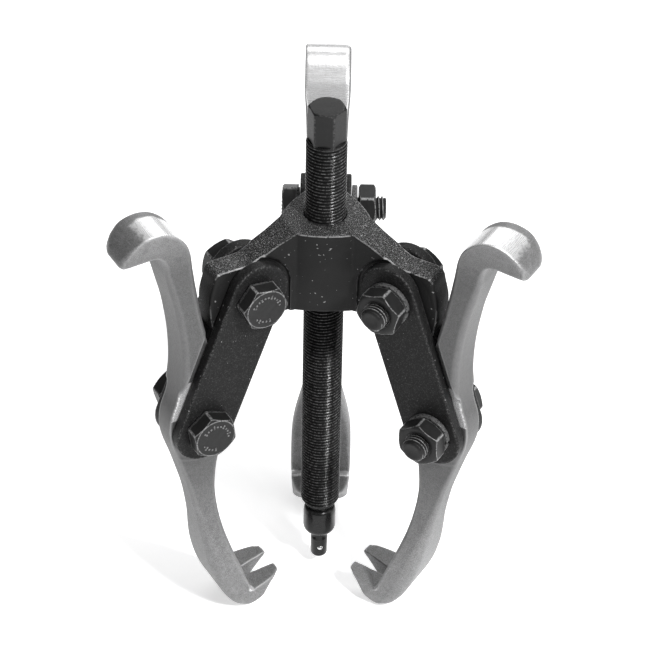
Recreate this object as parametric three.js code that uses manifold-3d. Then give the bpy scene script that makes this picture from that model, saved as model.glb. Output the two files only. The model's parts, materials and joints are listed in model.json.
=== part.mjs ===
// Three-jaw reversible gear puller: a forged yoke with a forcing screw through it, and three
// reversible jaws, each hung from the yoke by a pair of flat straps and two bolts.
// Millimetres, +Z up. The origin is the centre of the flat end of the screw's pressure tip.
// Each arm is built in its own frame: x outward from the screw, y along the bolts, z up.

import * as THREE from "three";
import { mergeVertices } from "three/addons/utils/BufferGeometryUtils.js";
import Module from "manifold-3d";

const wasm = await Module();
wasm.setup();

// ---------------------------------------------------------------- driving dimensions

const ARMS = [
  { name: "left", azimuth: 210, linkAngle: 21.9, jawAngle: 0, headTurns: [7, 22], nutTurns: [40, 15] },
  { name: "right", azimuth: 330, linkAngle: 19.7, jawAngle: 1.3, headTurns: [25, 50], nutTurns: [17, 34] },
  { name: "rear", azimuth: 90, linkAngle: 25, jawAngle: 0, headTurns: [33, 12], nutTurns: [2, 20] },
];

const PIVOT_RADIUS = 35; // yoke bolt, from the screw's axis
const PIVOT_HEIGHT = 155.4; // yoke bolt, above the origin
const LINK_LENGTH = 60; // between the two bolts of a strap

const BLADE_HALF = 5.1; // half thickness of the yoke lugs and of the jaws where the straps lie
const STRAP_INNER = 5.4; // face of a strap that lies against the lug
const STRAP_OUTER = 10.2;
const STRAP_RADIUS = 12; // round end, and half the width
const STRAP_OVERHANG = 3.2; // centre of a round end, beyond the bolt

const BOLT_RADIUS = 5; // M10
const HOLE_RADIUS = 5.45;
const HEX_FLATS = 16.5; // bolt heads and nuts
const HEAD_BASE = 10.5;
const HEAD_TOP = 17.4;
const WASHER_BASE = 10.5;
const WASHER_TOP = 12.9;
const WASHER_RADIUS = 9.3;
const WASHER_SPLIT = 1.2;
const NUT_BASE = 13.2;
const NUT_TOP = 20;
const BOLT_END = 24.2;

const HUB_TOP = 178;
const HUB_BOTTOM = 141;
const HUB_CORNER = { x: 16.7, y: 6.8 }; // where an arm leaves the hub, in the arm's frame
const HUB_BULGE = [[15.1, -5.5], [15.4, 0], [15.1, 5.5]]; // bowed side of the hub between two arms
const LUG_POCKET = 16.3; // round recess in the yoke for the end of a strap
const YOKE_BORE = 8.55;

const SCREW_RADIUS = 8; // M16 x 1.5
const SCREW_TOP = 213.4;
const SCREW_BOTTOM = 28.2;
const DRIVE_TOP = 227.7;
const DRIVE_FLATS = 13.2;
const DRIVE_CORNER_AZIMUTH = 291;
const SOCKET_RADIUS = 4.6; // blind hole in the screw's lower end, for the swivel tip
const SOCKET_TOP = 43;
const RING_GROOVE = { low: 33.6, high: 35.2, radius: 5.6 };

const TIP_RADIUS = 6.75;
const TIP_TOP = 27.8;
const TIP_SHOULDER = 13.6;
const STUB_RADIUS = 3.5;
const SPIGOT_RADIUS = 4.1;
const SPIGOT_TOP = 38.4;
const THRUST_BALL_RADIUS = 2;
const DETENT_HEIGHT = 5.5;
const DETENT_BALL_RADIUS = 1.3;
const DETENT_AZIMUTH = 279;

const JAW_POCKET = 19.8; // milled recess in a jaw for the end of a strap
const STRAP_CHANNEL_ANGLE = 21; // lean of the step that a strap lies beside
const HEEL_LEAN = 16; // lean of the bevels on the claw's outer corners
const JAW_HALF_DEPTH = 16; // more than any jaw is wide, for cutting tools

// ---------------------------------------------------------------- solids

function solid(geometry) {
  const bare = geometry.index ? geometry.toNonIndexed() : geometry.clone();
  bare.deleteAttribute("normal");
  bare.deleteAttribute("uv");
  const merged = mergeVertices(bare, 1e-4);
  return new wasm.Manifold(
    new wasm.Mesh({
      numProp: 3,
      vertProperties: new Float32Array(merged.attributes.position.array),
      triVerts: new Uint32Array(merged.index.array),
    }),
  );
}

function geometryOf(body) {
  const mesh = body.getMesh();
  const geometry = new THREE.BufferGeometry();
  geometry.setAttribute("position", new THREE.BufferAttribute(new Float32Array(mesh.vertProperties), 3));
  geometry.setIndex(new THREE.BufferAttribute(new Uint32Array(mesh.triVerts), 1));
  geometry.computeVertexNormals();
  return geometry;
}

function union(bodies) {
  return bodies.reduce((sum, body) => sum.add(body));
}

// A body turned about z from [radius, height] pairs. The pairs start and end on the axis.
function turned(profile, segments) {
  const points = profile.map(([radius, height]) => new THREE.Vector2(radius, height));
  return solid(new THREE.LatheGeometry(points, segments).rotateX(Math.PI / 2));
}

// A cylinder or prism along z from low to high; a corner points along the given angle.
function column(radius, low, high, segments, angle = 0) {
  const geometry = new THREE.CylinderGeometry(radius, radius, high - low, segments);
  geometry.rotateX(Math.PI / 2).rotateZ(THREE.MathUtils.degToRad(angle) + Math.PI / 2);
  return solid(geometry.translate(0, 0, (low + high) / 2));
}

// The same along y, with a corner at the given angle from +x towards +z.
function crossColumn(radius, low, high, segments, angle = 0) {
  const geometry = new THREE.CylinderGeometry(radius, radius, high - low, segments);
  geometry.rotateY(Math.PI / 2 - THREE.MathUtils.degToRad(angle));
  return solid(geometry.translate(0, (low + high) / 2, 0));
}

// An outline in x and z, extruded along y from low to high.
function sideExtrusion(shape, low, high, curveSegments = 6) {
  const geometry = new THREE.ExtrudeGeometry(shape, { depth: high - low, bevelEnabled: false, curveSegments });
  return solid(geometry.rotateX(Math.PI / 2).translate(0, high, 0));
}

// An outline in y and z, extruded along x from low to high.
function frontExtrusion(shape, low, high, curveSegments = 6) {
  const geometry = new THREE.ExtrudeGeometry(shape, { depth: high - low, bevelEnabled: false, curveSegments });
  return solid(geometry.rotateX(Math.PI / 2).rotateZ(Math.PI / 2).translate(low, 0, 0));
}

// An outline in x and y, extruded along z from low to high.
function planExtrusion(shape, low, high, curveSegments = 6) {
  const geometry = new THREE.ExtrudeGeometry(shape, { depth: high - low, bevelEnabled: false, curveSegments });
  return solid(geometry.translate(0, 0, low));
}

function polygon(points) {
  return new THREE.Shape(points.map(([x, y]) => new THREE.Vector2(x, y)));
}

// Half an outline completed by its mirror image, across the x axis or across the y axis.
const mirrored = (points) => [...points, ...points.map(([x, y]) => [x, -y]).reverse()];
const mirroredAcross = (points) => [...points, ...points.map(([x, y]) => [-x, y]).reverse()];
const hexRadius = (flats) => flats / Math.sqrt(3);

// ---------------------------------------------------------------- yoke

// Side view of an arm: flat hub, sloping top, and a lug with a rounded end.
function armProfile() {
  const shape = new THREE.Shape();
  shape.moveTo(0, HUB_TOP);
  shape.lineTo(HUB_CORNER.x, HUB_TOP);
  shape.lineTo(36.2, 168.8);
  shape.lineTo(48.6, 168.9);
  shape.quadraticCurveTo(51, 168.6, 51.6, 165);
  shape.quadraticCurveTo(53.6, 154, 52.2, 143.5);
  shape.quadraticCurveTo(51.4, 139.2, 46, 139);
  shape.lineTo(30, 139.4);
  shape.quadraticCurveTo(26, 139.6, 22, HUB_BOTTOM);
  shape.lineTo(0, HUB_BOTTOM);
  return shape;
}

function makeYoke() {
  const { x, y } = HUB_CORNER;
  const armPlan = polygon(mirrored([[0, y], [x, y], [23.5, 6.1], [34, 5.8], [42, BLADE_HALF], [60, BLADE_HALF]]));
  const arm = sideExtrusion(armProfile(), -y, y).intersect(planExtrusion(armPlan, 100, 200));
  const turnedBy = (points, degrees) =>
    points.map(([px, py]) => {
      return new THREE.Vector2(px, py).rotateAround(new THREE.Vector2(), THREE.MathUtils.degToRad(degrees));
    });
  const outline = ARMS.flatMap(({ azimuth }) => [
    ...turnedBy([[x, -y], [x, y]], azimuth),
    ...turnedBy(HUB_BULGE, azimuth + 60),
  ]);
  outline.sort((a, b) => a.angle() - b.angle());
  const hub = planExtrusion(new THREE.Shape(outline), HUB_BOTTOM, HUB_TOP);
  let body = union([hub, ...ARMS.map(({ azimuth }) => arm.rotate([0, 0, azimuth]))]);

  const swing = polygon([[-LUG_POCKET, 0], [-LUG_POCKET, -30], [40, -30], [40, 0]]);
  const pocket = crossColumn(LUG_POCKET, BLADE_HALF, 30, 40).add(sideExtrusion(swing, BLADE_HALF, 30));
  const recess = union([pocket, pocket.mirror([0, 1, 0]), crossColumn(HOLE_RADIUS, -30, 30, 24)])
    .translate([PIVOT_RADIUS, 0, PIVOT_HEIGHT]);
  for (const { azimuth } of ARMS) body = body.subtract(recess.rotate([0, 0, azimuth]));
  return body.subtract(column(YOKE_BORE, 100, 200, 32));
}

// ---------------------------------------------------------------- screw and swivel tip

function makeSpindle() {
  const blank = turned(
    [
      [0, SCREW_BOTTOM],
      [5.6, SCREW_BOTTOM],
      [SCREW_RADIUS, 32.2],
      [SCREW_RADIUS, SCREW_TOP],
      [0, SCREW_TOP],
    ],
    32,
  );
  const drive = column(hexRadius(DRIVE_FLATS), SCREW_TOP - 1, DRIVE_TOP, 6, DRIVE_CORNER_AZIMUTH);
  const crown = turned([[0, SCREW_TOP - 2], [9.4, SCREW_TOP - 2], [9.4, 226.4], [6.8, DRIVE_TOP], [0, DRIVE_TOP]], 24);
  const socket = column(SOCKET_RADIUS, SCREW_BOTTOM - 1, SOCKET_TOP, 24);
  const groove = column(RING_GROOVE.radius, RING_GROOVE.low, RING_GROOVE.high, 24);
  return blank.add(drive.intersect(crown)).subtract(socket.add(groove));
}

function makeTip() {
  const groove = { low: RING_GROOVE.low - 0.1, high: RING_GROOVE.high + 0.1, radius: 3.1 };
  const body = turned(
    [
      [0, 0],
      [2.8, 0],
      [STUB_RADIUS, 0.9],
      [STUB_RADIUS, 10.2],
      [3.1, 10.8],
      [3.1, TIP_SHOULDER - 0.6],
      [4.6, TIP_SHOULDER],
      [TIP_RADIUS, TIP_SHOULDER + 1.7],
      [TIP_RADIUS, TIP_TOP - 2],
      [5.5, TIP_TOP],
      [SPIGOT_RADIUS, TIP_TOP],
      [SPIGOT_RADIUS, groove.low],
      [groove.radius, groove.low],
      [groove.radius, groove.high],
      [SPIGOT_RADIUS, groove.high],
      [SPIGOT_RADIUS, SPIGOT_TOP - 0.4],
      [SPIGOT_RADIUS - 0.4, SPIGOT_TOP],
      [0, SPIGOT_TOP],
    ],
    28,
  );
  const hole = solid(new THREE.CylinderGeometry(1.6, 1.6, 6, 16).translate(0, 3.2, 0).rotateZ(-Math.PI / 2));
  return body.subtract(hole.translate([-1.6, 0, DETENT_HEIGHT]).rotate([0, 0, DETENT_AZIMUTH]));
}

function makeRetainingRing() {
  const { low, high } = RING_GROOVE;
  const gap = planExtrusion(polygon(mirrored([[0, 1], [8, 1]])), low, high);
  return column(5.2, low + 0.3, high - 0.3, 24).subtract(column(3.5, low, high, 24)).subtract(gap);
}

class Helix extends THREE.Curve {
  constructor(radius, pitch, turns) {
    super();
    Object.assign(this, { radius, pitch, turns });
  }
  getPoint(t, target = new THREE.Vector3()) {
    const angle = 2 * Math.PI * this.turns * t;
    return target.set(this.pitch * this.turns * t, this.radius * Math.cos(angle), this.radius * Math.sin(angle));
  }
}

function makeDetentSpring() {
  const wire = new THREE.Shape().absarc(0, 0, 0.2, 0, 2 * Math.PI);
  const coil = new THREE.ExtrudeGeometry(wire, {
    extrudePath: new Helix(1, 0.7, 3),
    steps: 36,
    curveSegments: 3,
    bevelEnabled: false,
  });
  return solid(coil);
}

// ---------------------------------------------------------------- straps and fasteners

function makeStrap() {
  const shape = new THREE.Shape();
  shape.absarc(0, STRAP_OVERHANG, STRAP_RADIUS, 0, Math.PI, false);
  shape.absarc(0, -LINK_LENGTH - STRAP_OVERHANG, STRAP_RADIUS, Math.PI, 2 * Math.PI, false);
  const hole = crossColumn(HOLE_RADIUS, 0, 20, 24);
  return sideExtrusion(shape, STRAP_INNER, STRAP_OUTER, 14)
    .subtract(hole)
    .subtract(hole.translate([0, 0, -LINK_LENGTH]));
}

function makeBolt(turn) {
  const head = crossColumn(hexRadius(HEX_FLATS), HEAD_BASE, HEAD_TOP, 6, turn);
  return head.add(crossColumn(BOLT_RADIUS, -BOLT_END, HEAD_BASE + 1, 24));
}

function makeNut(turn) {
  const body = crossColumn(hexRadius(HEX_FLATS), -NUT_TOP, -NUT_BASE, 6, turn);
  return body.subtract(crossColumn(HOLE_RADIUS, -30, 0, 24));
}

function makeLockWasher() {
  const ring = crossColumn(WASHER_RADIUS, -WASHER_TOP, -WASHER_BASE, 32);
  const half = WASHER_SPLIT / 2;
  const split = sideExtrusion(polygon([[-half, 0], [half, 0], [half + 2, 12], [2 - half, 12]]), -20, 0);
  return ring.subtract(crossColumn(HOLE_RADIUS, -30, 0, 24)).subtract(split);
}

// ---------------------------------------------------------------- jaw

// Side view of a jaw about its bolt: a forked claw below, a solid outward hook above.
function jawProfile() {
  const spline = (points) => points.map(([x, y]) => new THREE.Vector2(x, y));
  const shape = new THREE.Shape();
  shape.moveTo(-33, -91.9);
  shape.lineTo(-19.8, -94.2);
  shape.quadraticCurveTo(-18, -94.3, -17.4, -90);
  shape.splineThru(spline([[-14.8, -81], [-11.6, -72], [-8.4, -59.5], [-6.6, -47], [-6, -35.5], [-7.6, -22], [-12, -9]]));
  shape.splineThru(spline([[-13, 0], [-11.8, 9], [-7.6, 21], [-4.6, 31.5], [-2.4, 42], [2, 65.5], [5.2, 85.5]]));
  shape.splineThru(spline([[7.2, 91.7], [11.2, 96], [15.4, 98.3], [20.8, 98.9], [27.8, 97.6], [31.7, 95], [33.9, 92]]));
  shape.quadraticCurveTo(35.1, 88.8, 32.2, 88.6);
  shape.lineTo(20.8, 89.2);
  shape.quadraticCurveTo(17.6, 89, 16.8, 86);
  shape.splineThru(spline([[15, 76], [11.6, 60.5], [9.4, 45.5], [8.6, 31], [9.6, 18], [13, 7], [14, 0]]));
  shape.splineThru(spline([[12.6, -11], [7.8, -27], [3.6, -45], [1, -61], [-0.8, -75], [-4.2, -87.5], [-8.8, -97.5]]));
  shape.splineThru(spline([[-13.6, -103], [-19.4, -105.2], [-24.6, -102.4], [-29.6, -96.6], [-33.6, -92.9]]));
  shape.closePath();
  return shape;
}

// Half the jaw's width, seen from the front, at each height above its bolt.
const JAW_WIDTHS = [
  [9.1, 101], [9.3, 93], [8.9, 84], [8.3, 72], [8, 58], [8, 10], [BLADE_HALF, -14], [BLADE_HALF, -40],
  [6.2, -49], [8.6, -58], [11, -64], [12.6, -71], [13, -80], [12.9, -92], [12, -99], [10.8, -103], [9, -106],
];
// Half the claw's width, seen from above, at each distance out from its bolt.
const CLAW_PLAN = [[40, 14], [-16, 14], [-18.6, 12.7], [-25, 11.7], [-30, 10.5], [-32.8, 9.4], [-34.2, 7]];

function makeJaw() {
  let body = sideExtrusion(jawProfile(), -JAW_HALF_DEPTH, JAW_HALF_DEPTH, 3);
  body = body.intersect(frontExtrusion(polygon(mirroredAcross(JAW_WIDTHS)), -45, 45));
  body = body.intersect(planExtrusion(polygon(mirrored(CLAW_PLAN)), -120, 120));

  const heelBevel = polygon([[10.5, 14], [17, 7], [40, 7], [40, 14]]);
  const heel = planExtrusion(heelBevel, -130, -45).rotate([0, HEEL_LEAN, 0]);
  body = body.subtract(heel).subtract(heel.mirror([0, 1, 0]));

  const slot = polygon(mirrored([[-40, 4.6], [-34, 4], [-20, 2.4], [-18.6, 1.9], [-17.9, 0.8]]));
  body = body.subtract(planExtrusion(slot, -120, -80));

  const channel = polygon([[-40, -8], [14.8, -8], [14.8, 56], [-40, 56]]);
  const recess = sideExtrusion(channel, BLADE_HALF, 30)
    .rotate([0, -STRAP_CHANNEL_ANGLE, 0])
    .add(crossColumn(JAW_POCKET, BLADE_HALF, 30, 40));
  return body.subtract(recess).subtract(recess.mirror([0, 1, 0])).subtract(crossColumn(HOLE_RADIUS, -30, 30, 24));
}

// ---------------------------------------------------------------- materials

const blackSteel = { color: 0x1d1e20, roughness: 0.42, metalness: 0.85 };
const greySteel = { color: 0x9b9c9c, roughness: 0.5, metalness: 0.9 };
const darkPlated = { color: 0x2b2c2e, roughness: 0.35, metalness: 0.9 };
const brightSteel = { color: 0xc4c6c8, roughness: 0.2, metalness: 1 };

function part(name, body, look) {
  const mesh = new THREE.Mesh(geometryOf(body), new THREE.MeshStandardMaterial(look));
  mesh.name = name;
  return mesh;
}

// ---------------------------------------------------------------- assembly

const puller = new THREE.Group();
puller.add(part("yoke", makeYoke(), blackSteel));
puller.add(part("spindle", makeSpindle(), blackSteel));
puller.add(part("spindle_tip", makeTip(), blackSteel));
puller.add(part("tip_retaining_ring", makeRetainingRing(), darkPlated));

const thrustBall = part(
  "thrust_ball",
  solid(new THREE.SphereGeometry(THRUST_BALL_RADIUS, 14, 10)),
  brightSteel,
);
thrustBall.position.set(0, 0, SPIGOT_TOP + 0.3 + THRUST_BALL_RADIUS);
puller.add(thrustBall);

const detent = new THREE.Group();
detent.position.set(0, 0, DETENT_HEIGHT);
detent.rotation.z = THREE.MathUtils.degToRad(DETENT_AZIMUTH);
const detentBall = part("detent_ball", solid(new THREE.SphereGeometry(DETENT_BALL_RADIUS, 14, 10)), brightSteel);
detentBall.position.x = 2.75;
const detentSpring = part("detent_spring", makeDetentSpring(), brightSteel);
detentSpring.position.x = -1.1;
detent.add(detentBall, detentSpring);
puller.add(detent);

for (const { name, azimuth, linkAngle, jawAngle, headTurns, nutTurns } of ARMS) {
  const arm = new THREE.Group();
  arm.rotation.z = THREE.MathUtils.degToRad(azimuth);
  puller.add(arm);

  const lean = THREE.MathUtils.degToRad(linkAngle);
  const link = new THREE.Group();
  link.position.set(PIVOT_RADIUS, 0, PIVOT_HEIGHT);
  link.rotation.y = -lean;
  const strap = makeStrap();
  link.add(part(`${name}_strap_head_side`, strap, blackSteel));
  link.add(part(`${name}_strap_nut_side`, strap.mirror([0, 1, 0]), blackSteel));
  arm.add(link);

  const jawPivot = new THREE.Vector3(
    PIVOT_RADIUS + LINK_LENGTH * Math.sin(lean),
    0,
    PIVOT_HEIGHT - LINK_LENGTH * Math.cos(lean),
  );
  ["yoke", "jaw"].forEach((end, i) => {
    const fasteners = new THREE.Group();
    fasteners.position.copy(i ? jawPivot : link.position);
    fasteners.add(part(`${name}_${end}_bolt`, makeBolt(headTurns[i]), darkPlated));
    fasteners.add(part(`${name}_${end}_nut`, makeNut(nutTurns[i]), darkPlated));
    fasteners.add(part(`${name}_${end}_lock_washer`, makeLockWasher(), darkPlated));
    arm.add(fasteners);
  });

  const jaw = part(`${name}_jaw`, makeJaw(), greySteel);
  jaw.position.copy(jawPivot);
  jaw.rotation.y = THREE.MathUtils.degToRad(jawAngle);
  arm.add(jaw);
}

export default puller;
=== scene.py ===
"""Three-jaw reversible gear puller: the visual pieces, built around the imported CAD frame.

Meshes are made in millimetres in a local frame and written in metres. An arm's local frame has
x outward from the screw, y along the bolts (heads at +y) and z up.
"""

import json
import math

import bpy
import numpy as np
from mathutils import Matrix, Vector


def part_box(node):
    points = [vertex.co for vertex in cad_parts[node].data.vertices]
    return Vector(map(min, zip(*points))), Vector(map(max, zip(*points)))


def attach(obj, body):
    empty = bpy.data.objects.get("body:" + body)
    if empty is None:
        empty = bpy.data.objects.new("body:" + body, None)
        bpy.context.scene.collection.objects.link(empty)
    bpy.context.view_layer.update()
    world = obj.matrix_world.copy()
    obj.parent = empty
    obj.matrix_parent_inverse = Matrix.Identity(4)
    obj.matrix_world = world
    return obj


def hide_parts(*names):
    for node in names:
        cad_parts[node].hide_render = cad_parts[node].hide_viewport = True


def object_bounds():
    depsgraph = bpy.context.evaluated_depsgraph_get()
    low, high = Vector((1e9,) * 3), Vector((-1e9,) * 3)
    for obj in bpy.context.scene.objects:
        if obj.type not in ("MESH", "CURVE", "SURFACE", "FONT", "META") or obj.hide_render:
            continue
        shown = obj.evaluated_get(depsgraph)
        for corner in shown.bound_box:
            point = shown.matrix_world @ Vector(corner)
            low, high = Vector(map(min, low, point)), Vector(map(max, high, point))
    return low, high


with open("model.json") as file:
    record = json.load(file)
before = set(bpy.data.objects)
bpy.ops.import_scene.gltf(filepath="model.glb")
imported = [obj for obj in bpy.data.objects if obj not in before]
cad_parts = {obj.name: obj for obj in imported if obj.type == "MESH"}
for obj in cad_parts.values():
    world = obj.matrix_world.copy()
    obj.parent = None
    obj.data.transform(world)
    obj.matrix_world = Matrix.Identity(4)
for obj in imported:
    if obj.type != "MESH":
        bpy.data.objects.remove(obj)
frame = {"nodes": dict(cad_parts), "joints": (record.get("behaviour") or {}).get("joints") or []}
cad_bounds = [[float(value) for value in corner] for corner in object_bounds()]

MM = 0.001
ARM_NAMES = ("left", "right", "rear")
JAW_TILT = {"left": 0.0, "right": 1.3, "rear": 0.0}  # degrees, top outward
HEX_TURNS = {  # (head, nut) turned about their bolt, in degrees
    "left": {"yoke": (7, 40), "jaw": (22, 15)},
    "right": {"yoke": (25, 17), "jaw": (50, 34)},
    "rear": {"yoke": (33, 2), "jaw": (12, 20)},
}

BLADE_HALF = 5.1  # half thickness of lugs and jaws between the straps
STRAP_INNER = 5.4  # faces of a strap, from the arm's middle
STRAP_OUTER = 10.2
STRAP_RADIUS = 12.0
STRAP_OVERHANG = 3.2  # straight run past a bolt before the rounded end
LINK_LENGTH = 60.0  # between a strap's two bolts
PIVOT_RADIUS = 35.0  # of the yoke's bolts from the screw's axis
PIVOT_HEIGHT = 155.4
HOLE_RADIUS = 5.45  # of the bolt holes in yoke, straps and jaws

FORGING_STEP = 0.55  # mesh cell of the forgings
STRAP_STEP = 0.6
SETTLING_ROUNDS = 3  # times that a mesh is moved onto its surface
WEAR_REACH = 0.7  # how far round a point its edge wear is felt
WEAR_GAIN = 0.45

# ---------------------------------------- tables and signed distances


def table(pairs, at):
    """Reads a table of (key, value) pairs at any place between its keys."""
    keys, values = zip(*sorted(pairs))
    return np.interp(at, keys, values)


def share(value, start, width):
    """How far value has gone from start over width, 0 to 1; a negative width runs downwards."""
    return np.clip((value - start) / width, 0, 1)


def round_max(a, b, radius):
    """Intersection of two distance fields, with its edge rounded to a radius."""
    corner = np.sqrt(np.maximum(a + radius, 0) ** 2 + np.maximum(b + radius, 0) ** 2)
    return np.minimum(np.maximum(a, b), -radius) + corner


def round_min(a, b, radius):
    """Union of two distance fields, with a fillet between them."""
    return -round_max(-a, -b, radius)


def spline(points, step=1.0):
    """Points along a Catmull-Rom curve through the given points."""
    p = np.asarray(points, float)
    p = np.vstack([2 * p[0] - p[1], p, 2 * p[-1] - p[-2]])
    out = []
    for a, b, c, d in zip(p, p[1:], p[2:], p[3:]):
        n = max(2, int(np.hypot(*(c - b)) / step))
        t = (np.arange(n) / n)[:, None]
        spans = [max(np.hypot(*leg), 1e-6) ** 0.5 for leg in (b - a, c - b, d - c)]
        t0, t1, t2, t3 = 0.0, *np.cumsum(spans)
        t = t1 + (t2 - t1) * t
        a1 = (t1 - t) / (t1 - t0) * a + (t - t0) / (t1 - t0) * b
        a2 = (t2 - t) / (t2 - t1) * b + (t - t1) / (t2 - t1) * c
        a3 = (t3 - t) / (t3 - t2) * c + (t - t2) / (t3 - t2) * d
        b1 = (t2 - t) / (t2 - t0) * a1 + (t - t0) / (t2 - t0) * a2
        b2 = (t3 - t) / (t3 - t1) * a2 + (t - t1) / (t3 - t1) * a3
        out.append((t2 - t) / (t2 - t1) * b1 + (t - t1) / (t2 - t1) * b2)
    return np.vstack(out)


def outline(runs):
    """A closed polygon of smooth runs; a corner is where one run ends and the next begins."""
    pieces = []
    for run, following in zip(runs, runs[1:] + runs[:1]):
        pieces.append(spline(run + following[:1]) if len(run) > 1 else np.asarray(run, float))
    return np.vstack(pieces)


def polygon_distance(polygon, x, y):
    """Signed distance from points to a closed polygon, negative inside."""
    shape = x.shape
    px = x.ravel().astype(np.float32)
    py = y.ravel().astype(np.float32)
    best = np.full(px.shape, 1e12, np.float32)
    inside = np.zeros(px.shape, bool)
    ends = np.roll(polygon, -1, axis=0)
    for (ax, ay), (bx, by) in zip(polygon, ends):
        ex, ey = bx - ax, by - ay
        length = ex * ex + ey * ey
        if length < 1e-12:
            continue
        wx, wy = px - ax, py - ay
        h = np.clip((wx * ex + wy * ey) / length, 0, 1)
        best = np.minimum(best, (wx - ex * h) ** 2 + (wy - ey * h) ** 2)
        level = (ay > py) != (by > py)
        inside ^= level & (px < (bx - ax) * (py - ay) / (by - ay + 1e-20) + ax)
    distance = np.sqrt(best)
    return np.where(inside, -distance, distance).reshape(shape)


class FlatField:
    """A polygon's signed distance, sampled once on a grid and read by interpolation."""

    def __init__(self, polygon, margin=24.0, step=0.25):
        self.low = polygon.min(0) - margin
        high = polygon.max(0) + margin
        self.step = step
        nx, ny = np.ceil((high - self.low) / step).astype(int) + 1
        gx = self.low[0] + step * np.arange(nx)
        gy = self.low[1] + step * np.arange(ny)
        x, y = np.meshgrid(gx, gy, indexing="ij")
        self.values = polygon_distance(polygon, x, y).astype(np.float32)

    def __call__(self, x, y):
        i = np.clip((x - self.low[0]) / self.step, 0, self.values.shape[0] - 1.001)
        j = np.clip((y - self.low[1]) / self.step, 0, self.values.shape[1] - 1.001)
        i0, j0 = i.astype(int), j.astype(int)
        fi, fj = i - i0, j - j0
        v = self.values
        near = v[i0, j0] * (1 - fj) + v[i0, j0 + 1] * fj
        far = v[i0 + 1, j0] * (1 - fj) + v[i0 + 1, j0 + 1] * fj
        return near * (1 - fi) + far * fi


def surface_net(field, low, high, step):
    """Vertices and quads of the zero surface of field(x, y, z) inside a box."""
    axes = [np.arange(a - step, b + 2 * step, step) for a, b in zip(low, high)]
    grid = np.meshgrid(*axes, indexing="ij")
    values = field(*grid).astype(np.float32)
    inside = values < 0
    corners = [(i, j, k) for i in (0, 1) for j in (0, 1) for k in (0, 1)]
    shape = [n - 1 for n in values.shape]

    def shifted(array, offset):
        return array[tuple(slice(o, o + n) for o, n in zip(offset, shape))]

    count = sum(shifted(inside, c).astype(np.int8) for c in corners)
    active = (count > 0) & (count < 8)
    cells = np.argwhere(active)
    numbers = np.full(shape, -1, np.int64)
    numbers[active] = np.arange(len(cells))

    total = np.zeros((len(cells), 3))
    weight = np.zeros(len(cells))
    for axis in range(3):
        for a in corners:
            if a[axis]:
                continue
            b = tuple(v + (n == axis) for n, v in enumerate(a))
            fa = values[tuple((cells + a).T)]
            fb = values[tuple((cells + b).T)]
            crosses = (fa < 0) != (fb < 0)
            t = fa[crosses] / (fa[crosses] - fb[crosses])
            point = np.tile(np.array(a, float), (len(t), 1))
            point[:, axis] += t
            total[crosses] += point
            weight[crosses] += 1
    start = np.array([axis[0] for axis in axes])
    vertices = start + step * (cells + total / weight[:, None])

    quads = []
    for axis in range(3):
        u, v = [(1, 2), (2, 0), (0, 1)][axis]
        lower = inside[tuple(slice(0, -1) if n == axis else slice(1, -1) for n in range(3))]
        upper = inside[tuple(slice(1, None) if n == axis else slice(1, -1) for n in range(3))]
        for found, flip in ((lower & ~upper, False), (~lower & upper, True)):
            at = np.argwhere(found)
            at[:, u] += 1
            at[:, v] += 1
            ring = []
            for du, dv in ((-1, -1), (0, -1), (0, 0), (-1, 0)):
                cell = at.copy()
                cell[:, u] += du
                cell[:, v] += dv
                ring.append(numbers[tuple(cell.T)])
            ring = np.stack(ring, 1)
            quads.append(ring[:, ::-1] if flip else ring)
    return vertices, np.vstack(quads)


def gradient(field, points, h=0.05):
    """The field's slope at points, from its values a little way off."""
    slopes = []
    for axis in range(3):
        delta = np.zeros(3)
        delta[axis] = h
        slopes.append((field(*(points + delta).T) - field(*(points - delta).T)) / (2 * h))
    return np.stack(slopes, 1)


def solid_from_field(field, box, step):
    """A mesh of the field's surface, its vertices moved onto the surface, and its edge wear."""
    vertices, quads = surface_net(field, *box, step)
    for _ in range(SETTLING_ROUNDS):
        slope = gradient(field, vertices)
        size = np.maximum((slope**2).sum(1), 0.25)
        move = -(field(*vertices.T) / size)[:, None] * slope
        vertices = vertices + np.clip(move, -0.5 * step, 0.5 * step)
    around = sum(
        field(*(vertices + sign * WEAR_REACH * np.eye(3)[axis]).T)
        for axis in range(3)
        for sign in (1, -1)
    )
    bend = (around - 6 * field(*vertices.T)) / WEAR_REACH**2
    return vertices, quads, np.clip(bend * WEAR_GAIN, 0, 1)


# ---------------------------------------- mesh helpers


def make_object(
    name, vertices, faces, material, matrix=Matrix.Identity(4), smooth=True, **attributes
):
    """A mesh object from millimetre vertices in a local frame; attributes are per vertex."""
    mesh = bpy.data.meshes.new(name)
    vertices = np.asarray(vertices, float) * MM
    faces = [tuple(int(i) for i in face) for face in faces]
    mesh.from_pydata(vertices.tolist(), [], faces)
    mesh.validate()
    mesh.update()
    mesh.polygons.foreach_set("use_smooth", [smooth] * len(mesh.polygons))
    for key, values in attributes.items():
        layer = mesh.attributes.new(key, "FLOAT", "POINT")
        layer.data.foreach_set("value", np.asarray(values, np.float32))
    mesh.materials.append(material)
    thing = bpy.data.objects.new(name, mesh)
    bpy.context.scene.collection.objects.link(thing)
    thing.matrix_world = matrix
    return thing


def grid_faces(rows, columns):
    """Quads of a grid of rows, each a loop of columns."""
    i, j = np.meshgrid(np.arange(rows - 1), np.arange(columns), indexing="ij")
    a = i * columns + j
    b = i * columns + (j + 1) % columns
    return np.stack([a, b, b + columns, a + columns], -1).reshape(-1, 4)


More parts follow.
